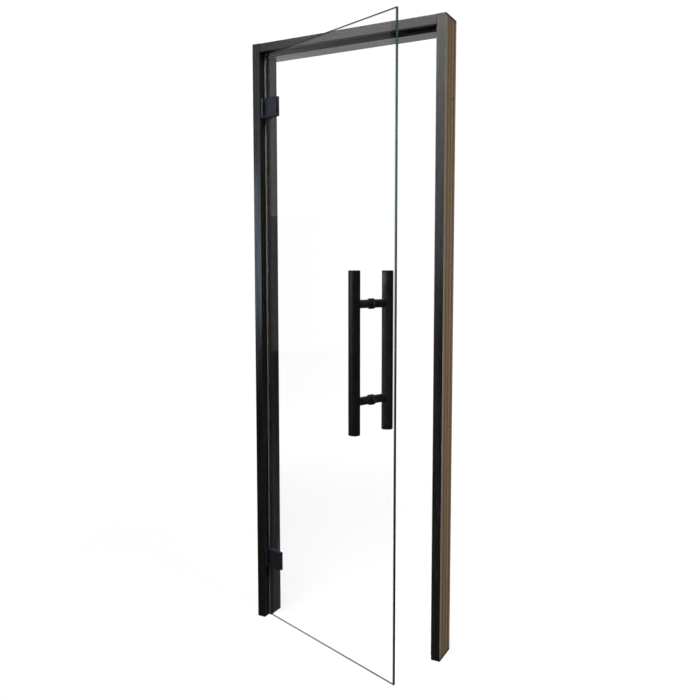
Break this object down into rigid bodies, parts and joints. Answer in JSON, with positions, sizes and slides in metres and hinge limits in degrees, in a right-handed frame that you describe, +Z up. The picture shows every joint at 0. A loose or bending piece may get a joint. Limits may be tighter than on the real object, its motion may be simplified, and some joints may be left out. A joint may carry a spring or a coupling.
{
  "type": "framed glass door",
  "caption": "Single clear glass door leaf on clamp hinges in a dark rebated timber frame without a sill, with a black ladder pull handle through the glass.",
  "frame": {"origin": "middle of the hinge jamb's foot, on the floor", "axes": "+X from the hinge jamb to the strike jamb, +Y from the room side to the back, +Z up"},
  "size_m": [0.69, 0.3371, 1.99],
  "materials": {
    "stained_timber": "dark stained, raw on the wall side",
    "dowel_timber": "raw",
    "grey_seal": "matt silicone",
    "black_hardware": "matt powder coat",
    "black_handle": "satin powder coat",
    "black_screws": "black oxide",
    "bright_steel": "turned",
    "black_pins": "black oxide, turned",
    "black_nylon": "matt",
    "black_pads": "matt",
    "clear_glass": "clear toughened, ground edges"
  },
  "bodies": {
    "frame": {"hinge_jamb": "stained_timber", "strike_jamb": "stained_timber", "head": "stained_timber", "corner_dowels": "dowel_timber", "hinge_side_seal": "grey_seal", "head_seal": "grey_seal", "strike_side_seal": "grey_seal", "lower_jamb_plate": "black_hardware", "upper_jamb_plate": "black_hardware", "lower_plate_screws": "black_screws", "upper_plate_screws": "black_screws", "lower_hinge_pin": "black_pins", "upper_hinge_pin": "black_pins", "lower_thrust_washers": "black_nylon", "upper_thrust_washers": "black_nylon"},
    "leaf": {"glass_pane": "clear_glass", "lower_front_clamp": "black_hardware", "upper_front_clamp": "black_hardware", "lower_back_clamp": "black_hardware", "upper_back_clamp": "black_hardware", "lower_front_pad": "black_pads", "upper_front_pad": "black_pads", "lower_back_pad": "black_pads", "upper_back_pad": "black_pads", "outer_post_pads": "black_pads", "inner_post_pads": "black_pads", "lower_clamp_screws": "black_screws", "upper_clamp_screws": "black_screws", "post_grub_screws": "black_screws", "lower_ear_bushes": "black_nylon", "upper_ear_bushes": "black_nylon", "handle_sleeves": "black_nylon", "outer_handle_bar": "black_handle", "inner_handle_bar": "black_handle", "outer_bar_caps": "black_handle", "inner_bar_caps": "black_handle", "outer_lower_post": "black_handle", "outer_upper_post": "black_handle", "inner_lower_post": "black_handle", "inner_upper_post": "black_handle", "handle_studs": "bright_steel"}
  },
  "joints": [
    {"name": "leaf_swing", "type": "hinge", "parent": "frame", "child": "leaf", "pos_m": [0.0155, -0.041, 0.995], "axis": [0, 0, -1], "range_deg": [-20.5, 84.5]}
  ]
}
